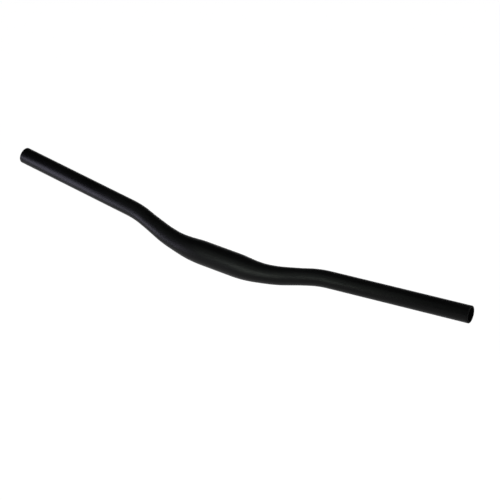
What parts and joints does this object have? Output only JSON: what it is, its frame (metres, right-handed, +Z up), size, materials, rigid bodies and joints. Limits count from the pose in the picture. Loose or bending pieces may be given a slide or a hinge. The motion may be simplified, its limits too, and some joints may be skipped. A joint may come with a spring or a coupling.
{
  "type": "mountain bike handlebar",
  "caption": "Riser handlebar for a mountain bike: a matte black butted aluminium tube, thick at the stem clamp, tapered, bent up and back, with straight open grip ends.",
  "frame": {"origin": "middle of the stem clamp, on its axis", "axes": "+X along the bar to the rider's left, +Y back towards the rider, +Z up, the way the bar rises"},
  "size_m": [0.692, 0.0571, 0.0562],
  "materials": {
    "black_anodised_tube": "satin"
  },
  "bodies": {
    "root": {"handlebar": "black_anodised_tube"}
  },
  "joints": []
}
